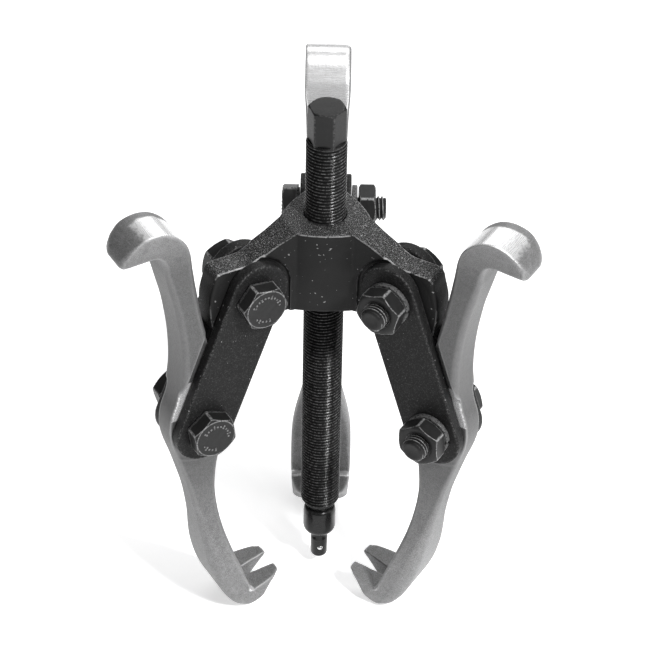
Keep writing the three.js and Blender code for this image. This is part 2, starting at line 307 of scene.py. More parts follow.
def loft(rings):
    """Rings of equal size, joined in order, with the first and last closed to a point."""
    rings = np.asarray(rings, float)
    rows, columns = rings.shape[:2]
    vertices = rings.reshape(-1, 3)
    faces = [tuple(face) for face in grid_faces(rows, columns)]
    centres = np.stack([rings[0].mean(0), rings[-1].mean(0)])
    first = len(vertices)
    vertices = np.vstack([vertices, centres])
    top = (rows - 1) * columns
    for j in range(columns):
        k = (j + 1) % columns
        faces.append((first, k, j))
        faces.append((first + 1, top + j, top + k))
    return vertices, faces


def ring_loft(rings):
    """Rings joined in order and back to the first, as a closed ring solid."""
    rings = np.asarray(rings, float)
    rows, columns = rings.shape[:2]
    j = np.arange(columns)
    k = (j + 1) % columns
    last = (rows - 1) * columns
    closing = np.stack([last + j, last + k, k, j], 1)
    return rings.reshape(-1, 3), np.vstack([grid_faces(rows, columns), closing])


def circle(radius, height, angle):
    """Points about z, one for each angle, at a radius that may differ from angle to angle."""
    heights = np.full(len(angle), height)
    return np.stack([radius * np.cos(angle), radius * np.sin(angle), heights], 1)


def lathe_rings(profile, segments):
    """Rings about z of a profile of (radius, height) points."""
    angle = np.linspace(0, 2 * np.pi, segments, endpoint=False)
    return [circle(radius, height, angle) for radius, height in profile]


def rounded(profile, radius, steps=4):
    """A profile with the corners between its two ends turned to short arcs."""
    points = [np.array(p, float) for p in profile]
    out = [points[0]]
    for a, b, c in zip(points, points[1:], points[2:]):
        reach = min(radius, 0.45 * np.hypot(*(a - b)), 0.45 * np.hypot(*(c - b)))
        p = b + (a - b) / max(np.hypot(*(a - b)), 1e-9) * reach
        q = b + (c - b) / max(np.hypot(*(c - b)), 1e-9) * reach
        for t in np.linspace(0, 1, steps):
            out.append((1 - t) ** 2 * p + 2 * t * (1 - t) * b + t * t * q)
    out.append(points[-1])
    return out


def about_y(points):
    """Turns points built about z so that z becomes the local y axis."""
    points = np.asarray(points, float)
    return np.stack([points[:, 1], points[:, 2], points[:, 0]], 1)


# ---------------------------------------- materials


class Nodes:
    """A small builder for one material's node tree."""

    def __init__(self, name):
        self.material = bpy.data.materials.new(name)
        self.material.use_nodes = True
        self.tree = self.material.node_tree
        self.tree.nodes.clear()
        output = self.tree.nodes.new("ShaderNodeOutputMaterial")
        self.shader = self.tree.nodes.new("ShaderNodeBsdfPrincipled")
        self.tree.links.new(self.shader.outputs[0], output.inputs["Surface"])
        self.place = self.tree.nodes.new("ShaderNodeTexCoord").outputs["Object"]

    def add(self, kind, inputs=None, **settings):
        node = self.tree.nodes.new(kind)
        for key, value in settings.items():
            setattr(node, key, value)
        for key, value in (inputs or {}).items():
            self.put(value, node.inputs[key])
        return node

    def put(self, value, socket):
        if isinstance(value, bpy.types.NodeSocket):
            self.tree.links.new(value, socket)
        else:
            socket.default_value = value

    def noise(self, per_mm, detail=2.0, roughness=0.5, distortion=0.0, stretch=None):
        """Noise with a grain of about 1 / per_mm millimetres, 0 to 1."""
        where = self.place
        if stretch:
            where = self.add("ShaderNodeMapping", {"Vector": where, "Scale": stretch}).outputs[0]
        inputs = {
            "Vector": where,
            "Scale": per_mm / MM,
            "Detail": detail,
            "Roughness": roughness,
            "Distortion": distortion,
        }
        return self.add("ShaderNodeTexNoise", inputs).outputs["Fac"]

    def math(self, operation, a, b):
        node = self.add("ShaderNodeMath", operation=operation)
        self.put(a, node.inputs[0])
        self.put(b, node.inputs[1])
        return node.outputs[0]

    def times(self, a, b):
        return self.math("MULTIPLY", a, b)

    def ramp(self, value, low, high, to_low=0.0, to_high=1.0):
        """A smooth step of value from low to high."""
        node = self.add("ShaderNodeMapRange", interpolation_type="SMOOTHSTEP")
        for socket, item in zip(node.inputs[:5], (value, low, high, to_low, to_high)):
            self.put(item, socket)
        return node.outputs[0]

    def mix(self, factor, a, b):
        """The colour a, turned to b by a factor."""
        node = self.add("ShaderNodeMix", data_type="RGBA")
        self.put(factor, node.inputs[0])
        self.put(a, node.inputs[6])
        self.put(b, node.inputs[7])
        return node.outputs[2]

    def blend(self, factor, a, b):
        """The number a, turned to b by a factor."""
        node = self.add("ShaderNodeMix", data_type="FLOAT")
        self.put(factor, node.inputs[0])
        self.put(a, node.inputs[2])
        self.put(b, node.inputs[3])
        return node.outputs[0]

    def attribute(self, name):
        return self.add("ShaderNodeAttribute", attribute_name=name).outputs["Fac"]

    def up(self):
        """How far the surface faces up, -1 to 1."""
        normal = self.add("ShaderNodeNewGeometry").outputs["Normal"]
        return self.add("ShaderNodeSeparateXYZ", {"Vector": normal}).outputs["Z"]

    def height(self):
        """Height in the piece's own frame, in metres."""
        return self.add("ShaderNodeSeparateXYZ", {"Vector": self.place}).outputs["Z"]

    def finish(self, color, roughness, metallic, bumps=(), specular=0.5):
        """The finished material; each bump is (height, distance in millimetres, strength)."""
        shader = self.shader.inputs
        self.put(color, shader["Base Color"])
        self.put(roughness, shader["Roughness"])
        self.put(metallic, shader["Metallic"])
        shader["Specular IOR Level"].default_value = specular
        normal = None
        for height, distance_mm, strength in bumps:
            node = self.add("ShaderNodeBump")
            node.inputs["Strength"].default_value = strength
            node.inputs["Distance"].default_value = distance_mm * MM
            self.put(height, node.inputs["Height"])
            if normal is not None:
                self.put(normal, node.inputs["Normal"])
            normal = node.outputs[0]
        if normal is not None:
            self.put(normal, shader["Normal"])
        return self.material


def grey(value):
    return (value, value, value * 1.005, 1.0)


def forged_black():
    """Blackened forging: a fine sandy grain with painted glints and a painted lighter tone where it
    faces up, and rubbed edges with a painted highlight where they face up.
    """
    n = Nodes("forged_black")
    grain = n.noise(3.2, detail=3.0, roughness=0.65)
    painted_glint_noise = n.noise(2.2, detail=5.0, roughness=0.9)
    blotch = n.noise(0.12, detail=3.0)
    # painted top light: faces turned up get a lighter tone and painted glints
    painted_top_light = n.ramp(n.up(), 0.35, 0.85)
    painted_glint = n.times(n.ramp(painted_glint_noise, 0.53, 0.66), painted_top_light)
    fleck = n.ramp(n.noise(0.75, detail=1.0), 0.725, 0.76)
    edge = n.times(n.attribute("wear"), n.ramp(n.noise(0.5, detail=3.0), 0.1, 0.5))
    base = n.mix(blotch, grey(0.009), grey(0.017))
    # painted light: upward faces painted a little lighter
    base = n.mix(n.times(painted_top_light, 0.5), base, grey(0.026))
    base = n.mix(painted_glint, base, grey(0.6))
    base = n.mix(n.times(fleck, 0.7), base, grey(0.35))
    # rubbed edge wear, with a painted highlight: edges that face up are painted brighter
    edge = n.times(edge, n.ramp(n.up(), 0.1, 0.7, 0.65, 1.0))
    base = n.mix(n.ramp(edge, 0.35, 0.75, 0.0, 0.8), base, grey(0.45))
    rough = n.ramp(grain, 0.3, 0.7, 0.46, 0.62)
    return n.finish(base, rough, 0.1, [(blotch, 0.5, 0.25), (grain, 0.16, 0.55)], specular=0.16)


def strap_black():
    """Satin black plate with a faint mottle, small chips and rubbed rims."""
    n = Nodes("strap_black")
    mottle = n.noise(0.35, detail=4.0, roughness=0.6)
    grain = n.noise(2.4, detail=2.0, roughness=0.6)
    chip = n.ramp(n.noise(0.7, detail=2.0), 0.725, 0.765)
    rim = n.attribute("wear")
    rubbed = n.times(rim, n.ramp(n.noise(1.1, detail=3.0, roughness=0.7), 0.47, 0.66))
    base = n.mix(mottle, grey(0.007), grey(0.02))
    base = n.mix(n.ramp(grain, 0.5, 0.75, 0.0, 0.6), base, grey(0.07))
    base = n.mix(n.times(chip, 0.8), base, grey(0.4))
    base = n.mix(n.times(rubbed, 0.6), base, grey(0.2))
    rough = n.ramp(mottle, 0.3, 0.7, 0.4, 0.54)
    return n.finish(base, rough, 0.1, [(mottle, 0.25, 0.3), (grain, 0.06, 0.45)], specular=0.1)


def screw_black():
    """Oiled black steel, its thread crests rubbed bright in patches, partly a painted highlight on
    the crests.
    """
    n = Nodes("screw_black")
    cloud = n.noise(0.25, detail=3.0)
    grain = n.noise(1.8, detail=3.0, roughness=0.65)
    crest = n.attribute("wear")
    patch = n.ramp(n.noise(1.1, detail=4.0, roughness=0.8), 0.44, 0.62)
    rubbed = n.times(crest, patch)
    base = n.mix(cloud, grey(0.007), grey(0.015))
    # rubbed crest wear, partly a painted highlight standing in for the crests' shine
    base = n.mix(n.times(rubbed, 0.5), base, grey(0.22))
    drive = n.ramp(n.height(), 0.2125, 0.2135, 0.0, 0.25)  # the drive hexagon is duller
    rough = n.math("ADD", n.ramp(grain, 0.3, 0.7, 0.15, 0.28), drive)
    return n.finish(base, rough, 0.15, [(grain, 0.05, 0.35)], specular=0.3)


def fastener_black():
    """Black-finished bolts, nuts and washers with brighter rubbed edges."""
    n = Nodes("fastener_black")
    cloud = n.noise(0.4, detail=3.0)
    grain = n.noise(2.2, detail=3.0, roughness=0.7)
    edge = n.times(n.attribute("wear"), n.ramp(n.noise(1.3, detail=3.0), 0.3, 0.55))
    base = n.mix(cloud, grey(0.012), grey(0.026))
    base = n.mix(n.ramp(grain, 0.6, 0.8, 0.0, 0.3), base, grey(0.1))
    base = n.mix(n.times(edge, 0.8), base, grey(0.38))
    rough = n.ramp(grain, 0.3, 0.7, 0.32, 0.48)
    return n.finish(base, rough, 0.2, [(grain, 0.07, 0.4)], specular=0.2)


def forged_grey():
    """Satin blasted forging with a soft grain, ground bright on its working faces, with a painted
    highlight at the claw's root.
    """
    n = Nodes("forged_grey")
    cloud = n.noise(0.05, detail=3.0)
    dapple = n.noise(0.45, detail=4.0, roughness=0.6)
    grain = n.noise(2.8, detail=3.0, roughness=0.7)
    stain = n.ramp(n.noise(0.16, detail=3.0, distortion=0.6), 0.64, 0.74)
    ragged = n.noise(0.3, detail=4.0, roughness=0.65)
    worn = n.times(n.math("SUBTRACT", ragged, 0.5), 0.9)
    ground = n.ramp(n.math("ADD", n.attribute("ground"), worn), 0.3, 0.75)
    lines = n.noise(3.0, detail=2.0, stretch=(1.0, 0.06, 1.0))
    base = n.mix(cloud, grey(0.1), grey(0.16))
    base = n.mix(n.ramp(dapple, 0.3, 0.75, 0.0, 0.5), base, grey(0.24))
    base = n.mix(n.ramp(grain, 0.42, 0.62, 0.0, 0.5), base, grey(0.4))
    base = n.mix(n.times(stain, 0.3), base, grey(0.1))
    # darker between the claw and the hook
    middle = n.times(n.ramp(n.height(), -0.07, -0.02), n.ramp(n.height(), 0.102, 0.076))
    base = n.mix(n.times(middle, 0.65), base, grey(0.04))
    base = n.mix(n.times(n.attribute("wear"), 0.35), base, grey(0.7))
    polished_and_painted_highlight = n.mix(n.ramp(lines, 0.3, 0.7, 0.0, 0.5), grey(0.8), grey(0.66))
    # ground faces, and the painted highlight at the claw's root
    base = n.mix(ground, base, polished_and_painted_highlight)
    matt = n.ramp(grain, 0.3, 0.7, 0.4, 0.52)
    gloss = n.ramp(lines, 0.3, 0.7, 0.22, 0.34)
    rough = n.blend(ground, matt, gloss)
    soft = n.times(n.math("SUBTRACT", 1.0, ground), grain)
    metallic = n.ramp(ground, 0.0, 1.0, 0.4, 0.5)
    bumps = [(dapple, 0.2, 0.35), (soft, 0.12, 0.8), (lines, 0.01, 0.3)]
    return n.finish(base, rough, metallic, bumps)


def bright_steel():
    """Polished ball steel."""
    n = Nodes("bright_steel")
    haze = n.noise(1.5, detail=3.0)
    base = n.mix(haze, grey(0.6), grey(0.72))
    return n.finish(base, n.ramp(haze, 0.3, 0.7, 0.12, 0.24), 1.0, [(haze, 0.01, 0.3)])


def spring_steel():
    """Drawn wire, duller than the balls."""
    n = Nodes("spring_steel")
    haze = n.noise(1.2, detail=3.0)
    base = n.mix(haze, grey(0.3), grey(0.42))
    return n.finish(base, n.ramp(haze, 0.3, 0.7, 0.28, 0.4), 0.9, [(haze, 0.02, 0.3)])


FORGED_BLACK = forged_black()
STRAP_BLACK = strap_black()
SCREW_BLACK = screw_black()
FASTENER_BLACK = fastener_black()
FORGED_GREY = forged_grey()
BRIGHT_STEEL = bright_steel()
SPRING_STEEL = spring_steel()


# ---------------------------------------- yoke

HUB_TOP = 178.0
HUB_BOTTOM = 141.0
HUB_FLAT = 14.2  # corners of the hub's bowed sides, from the screw's axis
HUB_RADIUS = 17.7
ARM_ROOT = 16.7
LUG_POCKET = 16.3
YOKE_BORE = 8.05
ARM_AZIMUTHS = (90, 210, 330)  # degrees: rear, left, right
YOKE_BOX = ((-50, -32, 136), (50, 56, 182))
UNWORN_RADIUS = 10  # about the screw, where the yoke's edges have no wear

ARM_HALF = [  # distance from the screw's axis, half thickness of the arm
    (0, 7.0), (ARM_ROOT, 6.9), (23.5, 6.1), (34, 5.8), (42, BLADE_HALF), (60, BLADE_HALF),
]
ARM_RUNS = [  # an arm's side, as (distance from the screw's axis, height)
    [(-10, HUB_TOP)],
    [(ARM_ROOT, HUB_TOP)],
    [(35.4, 169.1), (37.6, 168.7), (41.0, 168.8), (47.2, 168.9)],
    [
        (49.2, 168.6), (50.6, 167.0), (51.6, 163.2), (52.8, 158.5), (53.1, 152.5), (52.5, 146.0),
        (51.6, 142.0),
    ],
    [(50.4, 139.8), (47.5, 138.9)],
    [(30.5, 139.2), (26.0, 139.8), (20.0, HUB_BOTTOM)],
    [(-10, HUB_BOTTOM)],
]


def yoke_field():
    """The yoke: three arms and a hub with bowed sides, less lug pockets, bolt holes and bore."""
    side = FlatField(outline(ARM_RUNS))

    def one_arm(x, y, z):
        slab = (np.abs(y) - table(ARM_HALF, x)) * 0.97
        arm = round_max(side(x, z), slab, 0.9)
        px, pz = x - PIVOT_RADIUS, z - PIVOT_HEIGHT
        swept = np.hypot(px, pz) - LUG_POCKET
        below = np.maximum(-LUG_POCKET - px, pz)
        pocket = round_max(BLADE_HALF - np.abs(y), np.minimum(swept, below), 0.8)
        return arm, pocket, np.hypot(px, pz) - HOLE_RADIUS

    def field(x, y, z):
        solid, cut, hub_side = None, None, None
        for azimuth in ARM_AZIMUTHS:
            angle = math.radians(azimuth)
            ax = x * math.cos(angle) + y * math.sin(angle)
            ay = -x * math.sin(angle) + y * math.cos(angle)
            arm, pocket, hole = one_arm(ax, ay, z)
            tool = np.minimum(pocket, hole)
            solid = arm if solid is None else round_min(solid, arm, 0.6)
            cut = tool if cut is None else np.minimum(cut, tool)
            bow = table([(HUB_BOTTOM, 0.7), (HUB_TOP, 1.3)], z)
            flat = -ax - HUB_FLAT - np.clip(1 - (ay / 11.0) ** 2, 0, 1) * bow
            hub_side = flat if hub_side is None else np.maximum(hub_side, flat)
        hub_side = np.maximum(hub_side, np.hypot(x, y) - HUB_RADIUS)
        ends = np.maximum(z - HUB_TOP, HUB_BOTTOM - z)
        solid = round_min(solid, round_max(hub_side, ends, 0.9), 0.5)
        bore = np.hypot(x, y) - YOKE_BORE
        countersink = np.hypot(x, y) - (YOKE_BORE + 0.25) + (HUB_TOP - z)
        solid = round_max(solid, -cut, 0.45)
        return round_max(solid, -np.minimum(bore, countersink), 0.25)

    return field


def make_yoke():
    vertices, quads, wear = solid_from_field(yoke_field(), YOKE_BOX, FORGING_STEP)
    wear = wear * (np.hypot(vertices[:, 0], vertices[:, 1]) > UNWORN_RADIUS)
    piece = make_object("yoke_forging", vertices, quads, FORGED_BLACK, wear=wear)
    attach(piece, "yoke")
    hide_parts("yoke")


# ---------------------------------------- jaws

JAW_POCKET = 19.8
CHANNEL_HALF = 14.8
CHANNEL_LEAN = math.radians(21.0)
JAW_BOX = ((-35, -14, -107), (36, 14, 101))

# A jaw's frame has its bolt at the origin: u outward, s along the bolt and v up.
JAW_RUNS = [
    [(-33.2, -91.9)],
    [(-19.9, -94.2), (-18.8, -94.0), (-18.0, -92.9)],
    [
        (-17.5, -91), (-16.4, -87), (-14.0, -79), (-11.6, -72), (-8.4, -59.5), (-6.6, -47),
        (-6.0, -35.5), (-7.2, -23), (-10.4, -13), (-12.6, -5), (-13, 1), (-12.2, 8), (-9.4, 16),
        (-6.2, 25), (-2.8, 39.4), (-0.3, 51), (2.0, 65.5), (4.0, 78), (5.3, 86), (7.3, 91.8),
        (10.7, 95.9), (14.7, 98.6), (19.5, 99.7), (24.7, 99.0), (28.8, 97.0), (31.9, 94.5),
        (34.1, 91.7), (34.7, 89.8), (33.6, 88.5),
    ],
    [(32.2, 88.6), (22.6, 89.2), (19.4, 88.8), (17.6, 87.4), (16.6, 84.5)],
    [
        (15.6, 78), (13.6, 69), (11.5, 60), (10.2, 52), (9.2, 44), (8.7, 36), (8.7, 28),
        (9.4, 20), (10.8, 13), (13.2, 6), (14.0, 0), (13.6, -6), (12.2, -12), (10, -19),
        (7.8, -27), (5.5, -36), (3.6, -46), (2.2, -55), (1.0, -64), (-0.4, -73), (-2.6, -82),
        (-5.8, -90.5), (-9.6, -97.5), (-13.8, -102.6), (-19.0, -104.9), (-23.6, -103.0),
        (-28.0, -98.4), (-31.5, -94.9), (-33.6, -93.0),
    ],
]
JAW_HALF = [  # height, half width
    (-106, 9.2), (-103, 10.8), (-100, 11.7), (-96, 12.5), (-91, 12.8), (-82, 12.9), (-74, 12.6),
    (-67, 11.2), (-60, 9.2), (-53, 7.2), (-46, 5.9), (-38, BLADE_HALF), (-14, BLADE_HALF),
    (6, 7.8), (20, 8.0), (60, 8.1), (78, 8.7), (88, 9.3), (110, 9.3),
]
# Distance outward, half width: the claw's and the hook's plans and the claw's slot.
CLAW_HALF = [
    (-34.2, 6.4), (-33, 8.6), (-30.5, 10.1), (-28, 10.9), (-25, 11.6), (-18.6, 12.7), (-16, 14),
]
HOOK_HALF_NEAR = [(30, 9.6), (33, 9.0), (34.6, 7.6)]
HOOK_HALF_FAR = [(24, 9.6), (28, 9.2), (31, 8.3), (33, 6.9), (34.6, 4.6)]
SLOT_END = -17.8
SLOT_TOP = -84
SLOT_HALF = [(-36, 4.1), (-33, 3.7), (-20, 2.4), (-18.6, 1.7), (SLOT_END, 0.0)]
OPEN = 20.0  # wider than any jaw: no limit from the plan
# Height, radius of the long edges on the jaw's outer and inner sides.
OUTER_ROUND = [
    (-104, 3.0), (-98, 4.0), (-90, 5.0), (-75, 5.5), (-62, 4.0), (-45, 2.0), (-20, 1.2), (10, 1.6),
    (25, 2.4), (70, 2.4), (84, 1.6), (95, 1.0),
]
INNER_ROUND = [
    (-100, 0.5), (-90, 0.6), (-84, 1.6), (-60, 2.2), (-30, 1.2), (15, 1.6), (70, 2.4), (90, 1.2),
]
HOOK_BACK_ROUND = (2.0, 0.8)  # far side (s below 0), near side
HOOK_TIP_ROUND = (3.0, 1.5)


def jaw_field():
    """A jaw: its side outline between two half widths, less bolt recesses, hole and claw slot."""
    side = FlatField(outline(JAW_RUNS))
    inner_curve = np.vstack([JAW_RUNS[0], spline(JAW_RUNS[1] + JAW_RUNS[2], 2.0)])
    outer_curve = np.vstack([spline(JAW_RUNS[3], 2.0), spline(JAW_RUNS[4], 2.0)])
    above = [(60, 89), (60, 130), (-60, 130), (-60, -92)]
    beneath = [(-60, -93), (-60, -130), (60, -130), (60, 89)]
    to_inner = FlatField(np.vstack([inner_curve, above]), 1.0, 0.5)
    to_outer = FlatField(np.vstack([outer_curve, beneath]), 1.0, 0.5)

    def half_width(v):
        return sum(table(JAW_HALF, v + shift) for shift in (-2, 0, 2)) / 3

    def field(u, s, v):
        far = s < 0
        outer = np.clip((to_inner(u, v) - to_outer(u, v)) / 4 + 0.5, 0, 1)
        edge = table(OUTER_ROUND, v) * outer + table(INNER_ROUND, v) * (1 - outer)
        hook = share(v, 84, 5)
        tip = share(u, 26, 6)
        crown = np.where(far, *HOOK_BACK_ROUND) * (1 - tip) + np.where(far, *HOOK_TIP_ROUND) * tip
        edge = edge * (1 - hook) + hook * crown
        plan = np.where(far, table(HOOK_HALF_FAR, u), table(HOOK_HALF_NEAR, u))
        plan = np.where(v < -70, table(CLAW_HALF, u), np.where(v > 80, plan, OPEN))
        half = np.minimum(half_width(v), plan)
        body = round_max(side(u, v), (np.abs(s) - half) * 0.96, edge)

        leaning = u * math.cos(CHANNEL_LEAN) + v * math.sin(CHANNEL_LEAN)
        along = v * math.cos(CHANNEL_LEAN) - u * math.sin(CHANNEL_LEAN)
        channel = np.maximum(leaning - CHANNEL_HALF, -along)
        recess = round_min(np.hypot(u, v) - JAW_POCKET, channel, 2.0)
        pocket = round_max(BLADE_HALF - np.abs(s), recess, 1.6)
        body = round_max(body, -pocket, 0.5)
        body = np.maximum(body, HOLE_RADIUS - np.hypot(u, v))

        sides = (np.abs(s) - table(SLOT_HALF, u)) * 0.99
        slot = np.maximum(sides, np.maximum(u - SLOT_END, v - SLOT_TOP))
        return round_max(body, -slot, 0.35)

    return field


# How far each hook is ground bright: rim across it, reach along it.
GRIND = {"left": (-6, 28.5), "right": (-6, 33.0), "rear": (-14, 33.0)}


def jaw_ground(vertices, normals, rim, reach):
    """Where a jaw is ground bright, the hook's top and the pocket floors, and a painted highlight
    along the claw's root.

    The hook is left as forged beyond rim across it and beyond reach along it.
    """
    u, s, v = vertices.T
    across, up = np.abs(normals[:, 1]), normals[:, 2]
    top = share(v, 87.5, 5) * share(u, reach, -8) * share(up, 0.05, 0.3)
    inner = share(v, 64, 16) * share(-normals[:, 0], 0.2, 0.3)
    top = np.maximum(top, inner) * share(s, rim, 3) * share(across, 0.75, -0.3)
    depth = np.abs(s) - BLADE_HALF
    flat = (np.abs(depth) < 0.3) * (across > 0.9)
    floor = flat * (np.hypot(u, v) < JAW_POCKET + 2) * (v > 4)
    # painted highlight along the fillet at the claw's root
    painted_root_highlight = np.exp(-(((u + 18.7) / 1.8) ** 2) - ((v + 93.2) / 1.6) ** 2)
    return np.clip(0.95 * top + 0.8 * floor + 0.8 * painted_root_highlight, 0, 1)


# ---------------------------------------- threads and hexagons

THREAD_DEPTH = 0.6134  # of the pitch
THREAD_CUT = [(0, 0), (0.1, 0), (0.45, 1), (0.6, 1), (0.95, 0), (1, 0)]  # share of pitch, of depth
ROWS_PER_PITCH = 8
CORNER_POWER = 46  # the higher, the sharper a hexagon's corners
HEXAGON_COLUMNS = 120


def weld(vertices, faces):
    """Merges equal vertices, drops faces that close up, and says where each vertex came from."""
    keys = np.round(np.asarray(vertices, float), 5)
    unique, first, inverse = np.unique(keys, axis=0, return_index=True, return_inverse=True)
    inverse = inverse.ravel()
    kept = []
    for face in faces:
        ring = []
        for index in face:
            number = int(inverse[index])
            if number not in ring:
                ring.append(number)
        if len(ring) > 2:
            kept.append(tuple(ring))
    return unique, kept, first


def thread_skin(low, high, radius, pitch, envelope, columns=96):
    """A helical thread between two heights, held within an envelope of (height, radius)."""
    rows = int((high - low) / pitch * ROWS_PER_PITCH) + 2 * ROWS_PER_PITCH + 1
    i, j = np.meshgrid(np.arange(rows), np.arange(columns), indexing="ij")
    angle = 2 * np.pi * j / columns
    z = low - pitch + pitch * (i / ROWS_PER_PITCH + j / columns)
    phase = (i % ROWS_PER_PITCH) / ROWS_PER_PITCH
    cut = table(THREAD_CUT, phase)
    z = np.clip(z, low, high)
    r = np.minimum(radius - cut * THREAD_DEPTH * pitch, table(envelope, z))
    crest = (cut < 0.2) & (r > radius - 0.3 * pitch)
    vertices = np.stack([r * np.cos(angle), r * np.sin(angle), z], -1).reshape(-1, 3)
    faces = []
    for row in range(rows - 1):
        base = row * columns
        for column in range(columns - 1):
            a = base + column
            faces.append((a, a + 1, a + 1 + columns, a + columns))
        if row + 1 + ROWS_PER_PITCH < rows:
            a = base + columns - 1
            b = base + ROWS_PER_PITCH * columns
            faces.append((a, b, b + columns, a + columns))
    return vertices, faces, crest.reshape(-1).astype(float)


def close_ends(vertices, faces, wear, low, high, inner_low=None):
    """Caps a thread skin at its two ends, flat or with rings that lead inwards."""
    vertices, faces, first = weld(vertices, faces)
    wear = wear[first]
    vertices = list(map(tuple, vertices))
    wear = list(wear)
    for height, rings, flip in ((low, inner_low, True), (high, None, False)):
        skin = vertices[: len(first)]
        rim = [k for k, point in enumerate(skin) if abs(point[2] - height) < 1e-4]
        rim.sort(key=lambda k: math.atan2(vertices[k][1], vertices[k][0]))
        for r, z in rings or []:
            new = []
            for k in rim:
                angle = math.atan2(vertices[k][1], vertices[k][0])
                new.append(len(vertices))
                vertices.append((r * math.cos(angle), r * math.sin(angle), z))
                wear.append(0.0)
            for a in range(len(rim)):
                b = (a + 1) % len(rim)
                quad = (rim[a], rim[b], new[b], new[a])
                faces.append(quad[::-1] if flip else quad)
            rim = new
        faces.append(tuple(rim[::-1] if flip else rim))
    return np.array(vertices), faces, np.array(wear)


def hexagon_radius(angle, flats):
    """Radius of a hexagon at an angle from one of its corners, with its corners just rounded."""
    sides = [np.abs(np.cos(angle - math.radians(30 + 60 * k))) for k in range(3)]
    return flats / 2 / sum(side**CORNER_POWER for side in sides) ** (1 / CORNER_POWER)


def hexagon_ring(height, flats, limit, turn):
    """A ring of a hexagon, cut to a circle of radius limit."""
    angle = np.linspace(0, 2 * np.pi, HEXAGON_COLUMNS, endpoint=False)
    radius = np.minimum(hexagon_radius(angle - math.radians(turn), flats), limit)
    return circle(radius, height, angle)


def hexagon_rings(low, high, flats, turn, chamfer_low=True):
    """Rings of a hexagonal body with the usual thirty-degree turned corners."""
    flat = 0.485 * flats
    slope = math.tan(math.radians(30))
    corner = flats / math.sqrt(3)
    fall = (corner - flat) * slope
    up = np.linspace(0, 1, 7)
    steps = [(low, corner)]
    if chamfer_low:
        steps = [(low + fall * t, flat + (corner - flat) * t) for t in up]
    steps += [(z, corner) for z in np.linspace(low + fall + 0.3, high - fall - 0.3, 4)]
    steps += [(high - fall * t, flat + (corner - flat) * t) for t in up[::-1]]
    return [hexagon_ring(height, flats, limit, turn) for height, limit in steps]


def convex_wear(rings):
    """Rubbing along the edges of a loft: where its surface turns sharply, outward."""
    rings = np.asarray(rings, float)
    around = 2 * rings - np.roll(rings, 1, axis=1) - np.roll(rings, -1, axis=1)
    spacing = np.linalg.norm(rings - np.roll(rings, 1, axis=1), axis=2) + 1e-6
    spot = np.clip(np.linalg.norm(around, axis=2) / spacing * 3.0 - 0.35, 0, 1)
    before = rings[1:-1] - rings[:-2]
    after = rings[2:] - rings[1:-1]
    lengths = np.linalg.norm(before, axis=2) * np.linalg.norm(after, axis=2)
    turn = (before * after).sum(2) / (lengths + 1e-9)
    spot[1:-1] = np.maximum(spot[1:-1], np.clip((1 - turn) * 6, 0, 1))
    return spot.reshape(-1)


def join(*parts):
    """Several (vertices, faces, wear) as one."""
    vertices, faces, wear, start = [], [], [], 0
    for points, quads, rub in parts:
        vertices.append(points)
        faces += [tuple(int(i) + start for i in quad) for quad in quads]
        wear.append(rub)
        start += len(points)
    return np.vstack(vertices), faces, np.concatenate(wear)


def lofted(rings, scale_wear=1.0):
    """A loft with its edge wear; the two closing points have none."""
    vertices, faces = loft(rings)
    return vertices, faces, np.concatenate([convex_wear(rings) * scale_wear, [0.0, 0.0]])


def dome(x, y, height, radius, rise):
    """A small raised dot."""
    angle = np.linspace(0, 2 * np.pi, 10, endpoint=False)
    rings = [
        [(x + radius * c * math.cos(a), y + radius * c * math.sin(a), height + h) for a in angle]
        for c, h in ((1.0, -0.15), (1.0, 0.0), (0.8, rise * 0.7), (0.4, rise))
    ]
    vertices, faces = loft(rings)
    return vertices, faces, np.full(len(vertices), 0.55)


# ---------------------------------------- fasteners

BOLT_RADIUS = 5.0
BOLT_PITCH = 1.5
HEX_FLATS = 17.0
HEAD_BASE, HEAD_TOP = 10.4, 17.4
NUT_BASE, NUT_TOP = 13.1, 20.0
NUT_BORE = [(-NUT_BASE, 5.9), (-NUT_BASE - 0.7, 5.15), (-NUT_TOP + 0.7, 5.15), (-NUT_TOP, 5.9)]
BOLT_END = 24.2
THREAD_START = 8.0
BOLT_ENVELOPE = [(-BOLT_END, 3.9), (-BOLT_END + 1.1, 5.2), (HEAD_BASE, 5.2)]

MARK_RADIUS = 5.5
MARK_SIZE, MARK_RISE = 0.48, 0.25
MARK_ARCS = ((194, 11, 15), (46, 5, 16))  # first angle, number of marks, degrees between them

WASHER_INNER, WASHER_OUTER, WASHER_WIRE = 5.6, 9.2, 2.1
WASHER_TOP = 12.9
WASHER_RISE = 0.35  # of the coil, from its start to its end
WASHER_START, WASHER_TURN = 96, 352  # degrees


